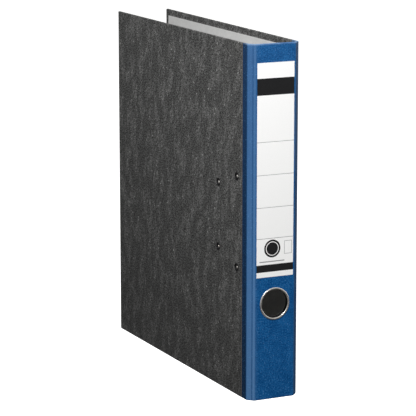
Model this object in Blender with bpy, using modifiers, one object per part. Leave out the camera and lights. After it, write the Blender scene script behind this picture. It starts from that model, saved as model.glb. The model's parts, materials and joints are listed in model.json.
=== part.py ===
"""A4 lever arch file, narrow spine: a hinged board case that carries a lever arch mechanism."""
import math

import bmesh
import bpy
from mathutils import Matrix, Vector

# Lengths are in millimetres here and become metres when a mesh is made.
MM = 0.001

# Case, seen from above: back cover at -X, spine at -Y, front cover at +X.
HEIGHT = 318.0
DEPTH = 285.0
THICKNESS = 50.0
BEVEL = 5.5
SPLAY = 0.75
SPINE_FACE = THICKNESS - 2 * BEVEL
BEVEL_FACE = BEVEL * math.sqrt(2)
COVER_LENGTH = DEPTH - BEVEL
RING_PROUD = 0.6
CENTRE_X = COVER_LENGTH * math.sin(math.radians(SPLAY)) / 2
CENTRE_Y = (DEPTH - RING_PROUD) / 2

# Layers of every panel, by depth from its outer surface.
PAPER_LAYER = (0.0, 0.3)
BOARD_LAYER = (0.4, 2.3)
LINING_LAYER = (2.4, 2.6)
PAPER_TRIM = 0.25
BOARD_TRIM = 1.1
LINING_TRIM = 1.25
LINING_MARGIN = 6.0
SPINE_PAPER_REACH = 9.0
PAPER_SEAM = 0.1
THROUGH = (-1.0, 4.0)

# Spine furniture.
LABEL_WIDTH = 36.0
LABEL_LAYER = (-0.3, -0.1)
LABEL_BOTTOM = 111.5
LABEL_TOP = 301.5
RING_Z = 87.0
RING_OUTER = 15.0
RING_INNER = 12.5
RING_TUBE = 13.1
RING_HOLE = 13.4

# Mechanism frame: x is the height above the back lining, y is the depth from the spine plane.
MECHANISM_Z = 158.0
PLATE_LEVEL = (0.1, 1.1)
PLATE_Y = (17.0, 71.0)
PLATE_HALF = 47.0
PLATE_THROUGH = (-1.0, 2.4)
RAISED_FROM = 0.6
LUGS = ((39.1, 40.3), (51.0, 52.2))
POST_Y = 63.0
POST_Z = 40.0
POST_RADIUS = 2.0
POST_TOP = 20.0
RIVETS = {
    "rivet_upper_near": (25.0, 41.0),
    "rivet_lower_near": (25.0, -41.0),
    "rivet_upper_far": (62.0, 29.5),
    "rivet_lower_far": (62.0, -29.5),
}
RIVET_SHANK = 2.0
RIVET_HEAD = 3.0
RIVET_RECESS = 3.3

# Arch wire and its crank.
ARCH_Y = 37.0
ARCH_H = 6.0
WIRE_RADIUS = 1.75
CRANK = 8.0
CRANK_ANGLE = math.radians(-20)
CRANK_TOP = 5.0
CRANK_BOTTOM = -4.0
CRANK_BEND = 2.4
FOOT_BEND = 3.6
BOW = ((0.5, 22.0), (9.0, 35.2), (17.0, 33.5), (26.0, 24.0), (26.0, 14.5))
BOW_BENDS = (14.0, 7.0, 6.0, 8.0)
KNUCKLES = (26.0, -32.0)
SPRING_WIRE = 0.45
SPRING_RADIUS = WIRE_RADIUS + 0.8
SPRING_TURNS = 5
SPRING_SPAN = (-6.7, -12.1)

# Lever, its pivot and its roller.
PIVOT_Z = 12.0
PIVOT_H = 12.07
PIVOT_Y = 45.65
LEVER_REST = 7.0
LEVER_WEB = (3.0, 4.0)
LEVER_WALLS = ((-5.0, -4.05), (4.05, 5.0))
LEVER_PIN = 1.5
ROLLER_U = 10.72
ROLLER_V = -2.47
ROLLER_RADIUS = 3.0
ROLLER_HALF = 3.75
ROLLER_PIN = 1.0
THUMB_HOLE = 3.9
THUMB_HOLE_U = 34.5

# Compressor bar.
BAR_LEVEL = 2.6
BAR_THICK = 1.2
BAR_HALF_WIDTH = 7.0
BAR_HALF = 48.0

# Space-saving slots in the front cover.
SLOT_U = 44.5
SLOT_HALF = 13.3
SLOT_RADIUS = 3.2

# Colour, metallic and roughness of each kind of surface.
LOOKS = {
    "board": ((0.23, 0.21, 0.19), 0.0, 0.9),
    "marbled": ((0.055, 0.055, 0.055), 0.0, 0.7),
    "blue": ((0.016, 0.085, 0.225), 0.0, 0.6),
    "lining": ((0.44, 0.44, 0.44), 0.0, 0.8),
    "label": ((0.9, 0.9, 0.9), 0.0, 0.7),
    "nickel": ((0.58, 0.56, 0.53), 1.0, 0.25),
    "steel": ((0.45, 0.45, 0.45), 1.0, 0.35),
}


def clear_scene():
    """Remove every object that is already in the scene."""
    for item in list(bpy.data.objects):
        bpy.data.objects.remove(item, do_unlink=True)


def group(name):
    """Make a collection linked to the scene."""
    made = bpy.data.collections.new(name)
    bpy.context.scene.collection.children.link(made)
    return made


clear_scene()
PARTS = group("lever_arch_file")
CUTTERS = group("lever_arch_file_cutters")


# Outlines ----------------------------------------------------------------------------------


def arc(centre, radius, first, last, count):
    """Points along an arc, angles in degrees."""
    points = []
    for i in range(count + 1):
        angle = math.radians(first + (last - first) * i / count)
        points.append((centre[0] + radius * math.cos(angle), centre[1] + radius * math.sin(angle)))
    return points


def circle(centre, radius, count=32):
    """Points round a whole circle."""
    return arc(centre, radius, 0, 360, count)[:-1]


def rounded_box(low, high, radius):
    """Outline of a rectangle with rounded corners."""
    right = high[0] - radius
    left = low[0] + radius
    top = high[1] - radius
    bottom = low[1] + radius
    points = arc((right, top), radius, 0, 90, 6)
    points += arc((left, top), radius, 90, 180, 6)
    points += arc((left, bottom), radius, 180, 270, 6)
    points += arc((right, bottom), radius, 270, 360, 6)
    return points


def slot(centre, half, radius):
    """Outline of a slot with round ends that runs along the first axis."""
    points = arc((centre[0] + half, centre[1]), radius, -90, 90, 10)
    points += arc((centre[0] - half, centre[1]), radius, 90, 270, 10)
    return points


def upright_slot(centre, half, radius):
    """Outline of a slot with round ends that runs along the second axis."""
    points = arc((centre[0], centre[1] + half), radius, 0, 180, 10)
    points += arc((centre[0], centre[1] - half), radius, 180, 360, 10)
    return points


# Solids ------------------------------------------------------------------------------------

# Turn a shape's X, Y and Z to Y, Z and X.
ROUND_TO_X = Matrix(((0, 0, 1, 0), (1, 0, 0, 0), (0, 1, 0, 0), (0, 0, 0, 1)))
# Turn a shape made in the XY plane, thick along Z, so that it is thick along the named axis.
FACING = {
    "x": ROUND_TO_X,
    "y": Matrix(((1, 0, 0, 0), (0, 0, -1, 0), (0, 1, 0, 0), (0, 0, 0, 1))),
    "z": Matrix.Identity(4),
}
# Turn a shape made about Z so that Z lies along the named axis.
SPUN = {
    "x": ROUND_TO_X,
    "y": Matrix(((-1, 0, 0, 0), (0, 0, 1, 0), (0, 1, 0, 0), (0, 0, 0, 1))),
}
WELD = 0.0005


def settled(guide, placing):
    """The evaluated mesh of a guide object, welded, placed and in metres; the guide goes."""
    bpy.context.scene.collection.objects.link(guide)
    depsgraph = bpy.context.evaluated_depsgraph_get()
    mesh = bpy.data.meshes.new_from_object(guide.evaluated_get(depsgraph))
    bpy.data.objects.remove(guide, do_unlink=True)
    bm = bmesh.new()
    bm.from_mesh(mesh)
    bmesh.ops.remove_doubles(bm, verts=bm.verts, dist=WELD)
    bm.to_mesh(mesh)
    bm.free()
    mesh.transform(Matrix.Scale(MM, 4) @ placing)
    return mesh


def block(low, high):
    """A box between two corners."""
    bm = bmesh.new()
    bmesh.ops.create_cube(bm, size=MM)
    bmesh.ops.scale(bm, vec=Vector(high) - Vector(low), verts=bm.verts)
    bmesh.ops.translate(bm, vec=(Vector(high) + Vector(low)) / 2 * MM, verts=bm.verts)
    mesh = bpy.data.meshes.new("block")
    bm.to_mesh(mesh)
    bm.free()
    return mesh


def flat(outlines, axis, low, high):
    """A plate of closed outlines, thick along one axis; an outline inside another is a hole."""
    curve = bpy.data.curves.new("flat", "CURVE")
    curve.dimensions = "2D"
    curve.fill_mode = "BOTH"
    curve.extrude = (high - low) / 2
    for outline in outlines:
        spline = curve.splines.new("POLY")
        spline.points.add(len(outline) - 1)
        for point, (a, b) in zip(spline.points, outline):
            point.co = (a, b, 0.0, 1.0)
        spline.use_cyclic_u = True
    middle = (high + low) / 2
    if axis == "y":
        middle = -middle
    placing = FACING[axis] @ Matrix.Translation((0.0, 0.0, middle))
    return settled(bpy.data.objects.new("flat", curve), placing)


def turned(profile, centre, axis, ring=False, steps=32):
    """A turned body: (radius, level) pairs down its outer side, about an axis through centre."""
    bm = bmesh.new()
    points = [bm.verts.new((radius, 0.0, level)) for radius, level in profile]
    for first, second in zip(points, points[1:]):
        bm.edges.new((first, second))
    if ring:
        bm.edges.new((points[-1], points[0]))
    mesh = bpy.data.meshes.new("profile")
    bm.to_mesh(mesh)
    bm.free()
    guide = bpy.data.objects.new("profile", mesh)
    turn = guide.modifiers.new("turn", "SCREW")
    turn.steps = steps
    turn.render_steps = steps
    turn.use_merge_vertices = True
    turn.merge_threshold = 0.0001
    if axis == "x":
        centre = (0.0, centre[0], centre[1])
    else:
        centre = (centre[0], 0.0, centre[1])
    return settled(guide, Matrix.Translation(centre) @ SPUN[axis])


def put(name, mesh, frame, target):
    """Place a shape in the frame of its body."""
    made = bpy.data.objects.new(name, mesh)
    made.parent = frame
    target.objects.link(made)
    return made


def surface_of(name, look):
    """A material of one of the kinds of surface, named after its piece."""
    colour, metallic, roughness = LOOKS[look]
    made = bpy.data.materials.new(name)
    made.use_nodes = True
    shader = made.node_tree.nodes["Principled BSDF"]
    shader.inputs["Base Color"].default_value = (*colour, 1.0)
    shader.inputs["Metallic"].default_value = metallic
    shader.inputs["Roughness"].default_value = roughness
    made.diffuse_color = (*colour, 1.0)
    return made


def piece(name, shape, frame, look, smooth=None):
    """Make one named piece of the file with its own material."""
    made = put(name, shape, frame, PARTS)
    shape.materials.clear()
    shape.materials.append(surface_of(name, look))
    if smooth:
        shape.shade_smooth()
        shape.set_sharp_from_angle(angle=math.radians(smooth))
    return made


def combine(body, operation, name, shape):
    """Join a hidden helper shape to a piece, or cut it out."""
    helper = put(name, shape, body.parent, CUTTERS)
    helper.hide_render = True
    helper.display_type = "WIRE"
    step = body.modifiers.new(name, "BOOLEAN")
    step.operation = operation
    step.solver = "EXACT"
    step.object = helper


def merged(shapes):
    """One helper shape from several shapes that lie apart."""
    bm = bmesh.new()
    for shape in shapes:
        bm.from_mesh(shape)
    mesh = bpy.data.meshes.new("helper")
    bm.to_mesh(mesh)
    bm.free()
    return mesh


def rounded_path(corners, bends):
    """Points along a wire that is bent at each inner corner with its own radius."""
    points = [Vector(corners[0])]
    for before, corner, after, bend in zip(corners, corners[1:], corners[2:], bends):
        here = Vector(corner)
        back = (Vector(before) - here).normalized()
        ahead = (Vector(after) - here).normalized()
        turn = math.pi - back.angle(ahead)
        reach = bend * math.tan(turn / 2)
        centre = here + (back + ahead).normalized() * bend / math.cos(turn / 2)
        first = here + back * reach - centre
        last = here + ahead * reach - centre
        count = max(2, round(math.degrees(turn) / 12))
        for k in range(count + 1):
            share = turn * k / count
            spoke = first * math.sin(turn - share) + last * math.sin(share)
            points.append(centre + spoke / math.sin(turn))
    points.append(Vector(corners[-1]))
    return points


def wire(name, points, radius, detail, frame, look, tip=0.0):
    """A round wire along a path of points, with chamfered tips where a tip length is given."""
    curve = bpy.data.curves.new(name, "CURVE")
    curve.dimensions = "3D"
    curve.bevel_depth = radius * MM
    curve.bevel_resolution = detail
    curve.use_fill_caps = True
    points = [Vector(point) for point in points]
    sizes = [1.0] * len(points)
    if tip:
        points.insert(1, points[0] + (points[1] - points[0]).normalized() * tip)
        points.insert(-1, points[-1] + (points[-2] - points[-1]).normalized() * tip)
        sizes = [1 - tip / radius] + sizes + [1 - tip / radius]
    spline = curve.splines.new("POLY")
    spline.points.add(len(points) - 1)
    for target, point, size in zip(spline.points, points, sizes):
        target.co = (*(point * MM), 1.0)
        target.radius = size
    made = bpy.data.objects.new(name, curve)
    made.parent = frame
    PARTS.objects.link(made)
    curve.materials.append(surface_of(name, look))
    return made


# Frames of the moving bodies, each an empty on its joint's axis -----------------------------


def frame(name, where, turn=(0.0, 0.0, 0.0)):
    """An empty that carries the pieces of one body."""
    made = bpy.data.objects.new(name, None)
    made.location = Vector(where) * MM
    made.rotation_euler = [math.radians(angle) for angle in turn]
    made.empty_display_size = 10 * MM
    PARTS.objects.link(made)
    return made


def panel_frame(name, x, y, angle):
    """Frame on a panel's crease: X runs along the case, Y into it."""
    return frame(name, (x - CENTRE_X, y - CENTRE_Y, 0.0), (0.0, 0.0, angle))


def mechanism_frame(name, height=0.0, depth=0.0, z=0.0, turn=(0.0, 0.0, 0.0)):
    """Frame at a point of the mechanism: X is away from the back cover."""
    inner = -THICKNESS / 2 + LINING_LAYER[1]
    return frame(name, (inner + height - CENTRE_X, depth - CENTRE_Y, MECHANISM_Z + z), turn)


EDGE = THICKNESS / 2
PANELS = {
    "back_cover": panel_frame("back_cover_frame", -EDGE, BEVEL, -90.0),
    "back_bevel": panel_frame("back_bevel_frame", -EDGE, BEVEL, -45.0),
    "spine": panel_frame("spine_frame", -EDGE + BEVEL, 0.0, 0.0),
    "front_bevel": panel_frame("front_bevel_frame", EDGE - BEVEL, 0.0, 45.0),
    "front_cover": panel_frame("front_cover_frame", EDGE, BEVEL, 90.0 - SPLAY),
}
MECHANISM = mechanism_frame("mechanism_frame")


# Case --------------------------------------------------------------------------------------


def sheet(panel, name, look, span, layer, rise=(0.0, HEIGHT)):
    """A flat sheet of a panel: span along the case, layer in depth, rise in height."""
    low = (span[0], layer[0], rise[0])
    high = (span[1], layer[1], rise[1])
    return piece(name, block(low, high), PANELS[panel], look)


def holes(body, name, outlines, depth=THROUGH):
    """Cut upright outlines out of a sheet."""
    combine(body, "DIFFERENCE", name, merged([flat([one], "y", *depth) for one in outlines]))


def build_cover(side, sign):
    """One cover: board, marbled paper, the end of the spine paper, and lining."""
    panel = side + "_cover"
    lined = COVER_LENGTH - LINING_MARGIN
    inner = (LINING_MARGIN, HEIGHT - LINING_MARGIN)

    def span(start, end):
        return (start, end) if sign > 0 else (-end, -start)

    board = sheet(panel, side + "_board", "board", span(BOARD_TRIM, COVER_LENGTH), BOARD_LAYER)
    marbled = span(SPINE_PAPER_REACH + PAPER_SEAM, COVER_LENGTH)
    paper = sheet(panel, side + "_cover_paper", "marbled", marbled, PAPER_LAYER)
    sheet(panel, side + "_spine_paper", "blue", span(PAPER_TRIM, SPINE_PAPER_REACH), PAPER_LAYER)
    lining = sheet(panel, side + "_lining", "lining", span(LINING_TRIM, lined), LINING_LAYER, inner)
    return board, paper, lining


def build_folded_panel(panel, width):
    """The spine or a bevel: board, blue paper and lining between two creases."""
    inner = (LINING_MARGIN, HEIGHT - LINING_MARGIN)
    layers = (
        ("board", "board", BOARD_TRIM, BOARD_LAYER, (0.0, HEIGHT)),
        ("paper", "blue", PAPER_TRIM, PAPER_LAYER, (0.0, HEIGHT)),
        ("lining", "lining", LINING_TRIM, LINING_LAYER, inner),
    )
    made = []
    for layer, look, trim, depth, rise in layers:
        made.append(sheet(panel, f"{panel}_{layer}", look, (trim, width - trim), depth, rise))
    return made


def build_back_cover():
    """Back cover, with recessed holes for the rivets that hold the mechanism."""
    board, paper, lining = build_cover("back", -1)
    places = [(BEVEL - y, MECHANISM_Z + z) for y, z in RIVETS.values()]
    wide = [circle(place, RIVET_RECESS) for place in places]
    narrow = [circle(place, RIVET_SHANK + 0.25) for place in places]
    holes(paper, "back_paper_rivet_holes", wide)
    holes(board, "back_board_rivet_recesses", wide, (-1.0, 1.1))
    holes(board, "back_board_rivet_holes", narrow)
    holes(lining, "back_lining_rivet_holes", narrow)


def build_front_cover():
    """Front cover, with the two metal-lined slots that lie over the bows."""
    places = [(SLOT_U, MECHANISM_Z + side * POST_Z) for side in (1, -1)]
    for sheet_piece in build_cover("front", 1):
        outlines = [slot(place, SLOT_HALF, SLOT_RADIUS + 0.7) for place in places]
        holes(sheet_piece, sheet_piece.name + "_slots", outlines)
    for name, place in zip(("slot_liner_upper", "slot_liner_lower"), places):
        rim = flat([slot(place, SLOT_HALF, SLOT_RADIUS + 2.8)], "y", -0.5, -0.1)
        liner = piece(name, rim, PANELS["front_cover"], "nickel")
        tube = flat([slot(place, SLOT_HALF, SLOT_RADIUS + 0.5)], "y", -0.3, 2.55)
        combine(liner, "UNION", name + "_tube", tube)
        hole = flat([slot(place, SLOT_HALF, SLOT_RADIUS)], "y", *THROUGH)
        combine(liner, "DIFFERENCE", name + "_hole", hole)


def build_spine():
    """Spine panel with its label, its finger ring and the ring's backing."""
    place = (SPINE_FACE / 2, RING_Z)
    for sheet_piece in build_folded_panel("spine", SPINE_FACE):
        outline = circle(place, RING_HOLE, 64)
        holes(sheet_piece, sheet_piece.name + "_ring_hole", [outline])
    edge = (SPINE_FACE - LABEL_WIDTH) / 2
    label = (edge, SPINE_FACE - edge)
    sheet("spine", "spine_label", "label", label, LABEL_LAYER, (LABEL_BOTTOM, LABEL_TOP))
    rim = (
        (RING_INNER, 3.4),
        (RING_TUBE, 3.4),
        (RING_TUBE, -0.1),
        (RING_OUTER, -0.1),
        (RING_OUTER - 0.25, -0.45),
        (RING_OUTER - 0.9, -RING_PROUD),
        (RING_INNER + 0.8, -RING_PROUD),
        (RING_INNER + 0.25, -0.3),
        (RING_INNER, 0.3),
    )
    ring = turned(rim, place, "y", True, 64)
    piece("finger_ring", ring, PANELS["spine"], "nickel", 40.0)
    rim = (
        (RING_TUBE + 0.2, 3.3),
        (RING_OUTER + 0.2, 3.3),
        (RING_OUTER + 0.8, 3.0),
        (RING_OUTER + 0.8, 2.7),
        (RING_TUBE + 0.2, 2.7),
    )
    backing = turned(rim, place, "y", True, 64)
    piece("finger_ring_backing", backing, PANELS["spine"], "nickel", 40.0)


# Mechanism ---------------------------------------------------------------------------------


def knuckle_outline():
    """Sheet that rises from the plate and curls round the arch wire, as (height, depth)."""
    middle = WIRE_RADIUS + 0.8
    half = 0.5
    outer = [(RAISED_FROM, ARCH_Y - middle - half)]
    outer += arc((ARCH_H, ARCH_Y), middle + half, -90, 150, 20)
    inner = [(RAISED_FROM, ARCH_Y - middle + half)]
    inner += arc((ARCH_H, ARCH_Y), middle - half, -90, 150, 20)
    return outer + inner[::-1]


def lug_outline():
    """Lever lug seen along the lever pin, as (height, z) pairs."""
    shoulder = PIVOT_H - 4.0
    points = [(RAISED_FROM, PIVOT_Z - 5.0), (RAISED_FROM, PIVOT_Z + 5.0), (shoulder, PIVOT_Z + 3.5)]
    points += arc((PIVOT_H, PIVOT_Z), 3.5, 90, -90, 14)
    points.append((shoulder, PIVOT_Z - 3.5))
    return points


def build_base_plate():
    """Pressed plate with its curled knuckles, lever lugs, stiffening beads and windows."""
    outline = rounded_box((PLATE_Y[0], -PLATE_HALF), (PLATE_Y[1], PLATE_HALF), 6.0)
    plate = piece("base_plate", flat([outline], "x", *PLATE_LEVEL), MECHANISM, "nickel")
    raised = [flat([knuckle_outline()], "z", z - 2.5, z + 2.5) for z in KNUCKLES]
    raised += [flat([lug_outline()], "y", low, high) for low, high in LUGS]
    raised += [flat([upright_slot((y, 0.0), 27.0, 0.9)], "x", RAISED_FROM, 1.5) for y in (19.6, 68.6)]
    combine(plate, "UNION", "base_plate_raised", merged(raised))
    outlines = [circle(place, RIVET_SHANK + 0.15) for place in RIVETS.values()]
    outlines += [circle((POST_Y, side * POST_Z), 1.65) for side in (1, -1)]
    outlines.append(rounded_box((22.5, 2.0), (31.5, 31.0), 2.5))
    outlines.append(rounded_box((22.5, -31.0), (31.5, -18.0), 2.5))
    outlines.append(rounded_box((54.8, -18.0), (64.5, 18.0), 2.5))
    cuts = [flat([outline], "x", *PLATE_THROUGH) for outline in outlines]
    bore = circle((PIVOT_H, PIVOT_Z), LEVER_PIN + 0.15)
    cuts.append(flat([bore], "y", LUGS[0][0] - 1.0, LUGS[1][1] + 1.0))
    combine(plate, "DIFFERENCE", "base_plate_holes", merged(cuts))


def build_posts():
    """Two posts with a collar on the plate and a spigot through it."""
    profile = (
        (0.0, POST_TOP),
        (POST_RADIUS - 0.5, POST_TOP),
        (POST_RADIUS, POST_TOP - 1.0),
        (POST_RADIUS, 2.3),
        (2.7, 2.3),
        (3.0, 2.0),
        (3.0, 1.2),
        (1.5, 1.2),
        (1.5, 0.2),
        (0.0, 0.2),
    )
    for side, name in ((1, "post_upper"), (-1, "post_lower")):
        piece(name, turned(profile, (POST_Y, side * POST_Z), "x"), MECHANISM, "nickel", 40.0)


def build_rivets():
    """Rivets that clamp the mechanism to the back cover, with dished heads outside."""
    profile = (
        (0.0, 1.6),
        (0.9, 1.7),
        (1.6, 2.05),
        (2.9, 2.0),
        (3.4, 1.6),
        (3.4, 1.2),
        (RIVET_SHANK, 1.2),
        (RIVET_SHANK, -1.6),
        (RIVET_HEAD, -1.7),
        (RIVET_HEAD, -2.0),
        (RIVET_HEAD - 0.4, -2.3),
        (1.7, -2.25),
        (0.8, -1.95),
        (0.0, -1.85),
    )
    for name, place in RIVETS.items():
        piece(name, turned(profile, place, "x"), MECHANISM, "nickel", 40.0)


def build_lever_pin():
    """Pin through the lugs, with a head at each end."""
    low = LUGS[0][0] - 0.1
    high = LUGS[1][1] + 0.1
    profile = (
        (0.0, high + 0.6),
        (1.9, high + 0.6),
        (2.3, high + 0.4),
        (2.3, high),
        (LEVER_PIN, high),
        (LEVER_PIN, low),
        (2.3, low),
        (2.3, low - 0.4),
        (1.9, low - 0.6),
        (0.0, low - 0.6),
    )
    piece("lever_pin", turned(profile, (PIVOT_H, PIVOT_Z), "y"), MECHANISM, "steel", 40.0)


def build_spring():
    """Torsion spring round the arch wire: leg under the crank, coil, leg on the plate."""
    steps = 22
    first, last = SPRING_SPAN
    count = SPRING_TURNS * steps
    points = [(-4.1, 2.8, -2.4), (-4.1, 2.8, -5.4), (-3.9, 2.3, -6.2), (-3.2, 1.3, -6.6)]
    for i in range(count + 1):
        angle = math.pi + 2 * math.pi * i / steps
        z = first + (last - first) * i / count
        points.append((SPRING_RADIUS * math.cos(angle), SPRING_RADIUS * math.sin(angle), z))
    points += [(-3.3, -1.5, -12.2), (-4.1, -3.2, -12.2), (-4.35, -4.6, -12.2), (-4.35, -10.5, -12.2)]
    placed = [(ARCH_H + height, ARCH_Y + depth, z) for height, depth, z in points]
    wire("arch_spring", placed, SPRING_WIRE, 2, MECHANISM, "steel")


def build_arch():
    """One bent wire: two bows joined by the pivot wire and its crank."""
    pin = (CRANK * math.sin(CRANK_ANGLE), CRANK * math.cos(CRANK_ANGLE))
    corners = [(height, depth, POST_Z) for depth, height in BOW[::-1]]
    corners += [
        (0.0, 0.0, POST_Z),
        (0.0, 0.0, CRANK_TOP),
        (*pin, CRANK_TOP),
        (*pin, CRANK_BOTTOM),
        (0.0, 0.0, CRANK_BOTTOM),
        (0.0, 0.0, -POST_Z),
    ]
    corners += [(height, depth, -POST_Z) for depth, height in BOW]
    bends = [*BOW_BENDS[::-1], FOOT_BEND, *[CRANK_BEND] * 4, FOOT_BEND, *BOW_BENDS]
    pivot = mechanism_frame("arch_frame", ARCH_H, ARCH_Y)
    wire("arch", rounded_path(corners, bends), WIRE_RADIUS, 4, pivot, "nickel", 0.6)


def lever_wall_outline():
    """Side wall of the lever, as (height, -along) pairs from its pivot."""
    points = [(28.0, 3.5), (-2.1, 3.5)]
    points += arc((0.0, 0.0), 3.0, 148, 330, 12)
    points += arc((ROLLER_U, ROLLER_V), 2.0, 151, 380, 14)
    points += [(16.0, -1.0), (28.0, 2.3)]
    return [(height, -along) for along, height in points]


def lever_web_outline():
    """Top of the lever and its thumb pad, as (depth, -along) pairs from its pivot."""
    side = [(-2.3, 4.3), (-1.6, 5.05), (23.0, 5.05), (25.0, 5.4), (28.5, 6.8), (30.5, 7.1)]
    side += arc((37.0, 1.1), 6.0, 90, 5, 6)
    points = [(depth, -along) for along, depth in side]
    return points + [(-depth, z) for depth, z in points[::-1]]


def build_lever():
    """Pressed lever with its thumb pad, the roller pin it carries, and the roller."""
    turn = (0.0, LEVER_REST, 0.0)
    pivot = mechanism_frame("lever_frame", PIVOT_H, PIVOT_Y, PIVOT_Z, turn)
    lever = piece("lever", flat([lever_web_outline()], "x", *LEVER_WEB), pivot, "nickel")
    walls = [flat([lever_wall_outline()], "y", low, high) for low, high in LEVER_WALLS]
    lip = [(3.4, -41.9), (1.9, -42.1), (1.2, -41.6), (0.9, -42.2), (1.6, -42.95), (3.4, -42.9)]
    walls.append(flat([lip], "y", -2.6, 2.6))
    combine(lever, "UNION", "lever_walls", merged(walls))
    roller_place = (ROLLER_V, -ROLLER_U)
    cuts = [
        flat([circle((0.0, 0.0), LEVER_PIN + 0.3)], "y", -6.0, 6.0),
        flat([circle(roller_place, ROLLER_PIN + 0.15)], "y", -6.0, 6.0),
        flat([circle((0.0, -THUMB_HOLE_U), THUMB_HOLE)], "x", 2.5, 4.5),
    ]
    combine(lever, "DIFFERENCE", "lever_holes", merged(cuts))
    profile = (
        (0.0, 5.6),
        (1.1, 5.6),
        (1.5, 5.4),
        (1.5, 5.1),
        (ROLLER_PIN, 5.1),
        (ROLLER_PIN, -5.1),
        (1.5, -5.1),
        (1.5, -5.4),
        (1.1, -5.6),
        (0.0, -5.6),
    )
    piece("roller_pin", turned(profile, roller_place, "y", steps=20), pivot, "steel", 40.0)
    rest = Matrix.Rotation(math.radians(LEVER_REST), 3, "Y") @ Vector((ROLLER_V, 0.0, -ROLLER_U))
    axle = mechanism_frame("roller_frame", PIVOT_H + rest.x, PIVOT_Y, PIVOT_Z + rest.z)
    bore = ROLLER_PIN + 0.3
    profile = (
        (bore, ROLLER_HALF),
        (ROLLER_RADIUS - 0.3, ROLLER_HALF),
        (ROLLER_RADIUS, ROLLER_HALF - 0.3),
        (ROLLER_RADIUS, -ROLLER_HALF + 0.3),
        (ROLLER_RADIUS - 0.3, -ROLLER_HALF),
        (bore, -ROLLER_HALF),
    )
    piece("roller", turned(profile, (0.0, 0.0), "y", True), axle, "steel", 40.0)


def build_compressor():
    """Sliding bar that holds the sheets down on the posts."""
    slide = mechanism_frame("compressor_frame", BAR_LEVEL, POST_Y)
    outline = rounded_box((-BAR_HALF_WIDTH, -BAR_HALF), (BAR_HALF_WIDTH, BAR_HALF), 5.0)
    bar = piece("compressor_bar", flat([outline], "x", 0.0, BAR_THICK), slide, "nickel")
    bead = flat([upright_slot((0.0, 0.0), 29.0, 1.6)], "x", BAR_THICK - 0.4, BAR_THICK + 0.8)
    combine(bar, "UNION", "compressor_bead", bead)
    outlines = [circle((0.0, side * POST_Z), POST_RADIUS + 0.4) for side in (1, -1)]
    cuts = [flat([outline], "x", -1.0, 3.0) for outline in outlines]
    combine(bar, "DIFFERENCE", "compressor_holes", merged(cuts))


build_back_cover()
build_front_cover()
build_folded_panel("back_bevel", BEVEL_FACE)
build_folded_panel("front_bevel", BEVEL_FACE)
build_spine()
build_base_plate()
build_posts()
build_rivets()
build_lever_pin()
build_spring()
build_arch()
build_lever()
build_compressor()
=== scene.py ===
"""Looks of the lever arch file: paper, board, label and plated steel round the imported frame."""
import json
import math

import bmesh
import bpy
from mathutils import Matrix, Vector, geometry


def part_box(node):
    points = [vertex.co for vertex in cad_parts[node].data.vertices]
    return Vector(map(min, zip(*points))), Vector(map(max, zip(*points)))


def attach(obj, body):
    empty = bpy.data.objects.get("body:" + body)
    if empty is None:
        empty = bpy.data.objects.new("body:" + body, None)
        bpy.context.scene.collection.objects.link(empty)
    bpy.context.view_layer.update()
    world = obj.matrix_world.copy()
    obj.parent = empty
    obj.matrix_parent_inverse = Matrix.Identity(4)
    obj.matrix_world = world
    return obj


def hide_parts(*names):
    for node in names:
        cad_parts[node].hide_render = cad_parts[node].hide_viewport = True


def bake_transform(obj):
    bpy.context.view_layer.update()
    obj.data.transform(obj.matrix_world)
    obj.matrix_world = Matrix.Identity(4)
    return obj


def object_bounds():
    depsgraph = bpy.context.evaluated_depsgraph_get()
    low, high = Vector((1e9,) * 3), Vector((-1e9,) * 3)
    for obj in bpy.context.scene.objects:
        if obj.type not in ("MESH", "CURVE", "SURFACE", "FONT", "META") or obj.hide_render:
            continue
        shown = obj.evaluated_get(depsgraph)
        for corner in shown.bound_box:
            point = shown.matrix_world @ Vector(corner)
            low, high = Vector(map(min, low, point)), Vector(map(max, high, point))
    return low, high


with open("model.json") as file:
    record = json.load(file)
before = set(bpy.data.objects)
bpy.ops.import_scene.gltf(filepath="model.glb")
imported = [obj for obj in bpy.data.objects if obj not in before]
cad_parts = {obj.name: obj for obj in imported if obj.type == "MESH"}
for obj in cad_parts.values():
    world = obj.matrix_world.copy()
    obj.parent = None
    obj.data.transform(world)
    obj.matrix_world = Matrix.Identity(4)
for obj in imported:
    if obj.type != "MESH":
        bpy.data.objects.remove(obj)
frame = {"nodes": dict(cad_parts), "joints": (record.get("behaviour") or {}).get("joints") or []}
CAD_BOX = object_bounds()

# Lengths are in millimetres here and become metres when a mesh is made.
MM = 0.001


# Places taken from the frame -----------------------------------------------------------------


def joint_place(name):
    """Plan position of a crease's axis."""
    joint = next(j for j in frame["joints"] if j["name"] == name)
    return Vector(joint["pos_m"][:2]) / MM


def box(node):
    """Lowest and highest corner of a CAD node."""
    low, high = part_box(node)
    return low / MM, high / MM


def box_centre(node):
    """Middle of a CAD node's box."""
    low, high = box(node)
    return (low + high) / 2


# The front cover stands out from a right angle by SPLAY.
HEIGHT = box("back_board")[1].z
FORE_EDGE = box("back_board")[1].y
SPLAY = math.radians(0.75)
BACK_OUTER = joint_place("back_outer_crease")
BACK_INNER = joint_place("back_inner_crease")
FRONT_INNER = joint_place("front_inner_crease")
FRONT_OUTER = joint_place("front_outer_crease")
COVER = FORE_EDGE - BACK_OUTER.y

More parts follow.
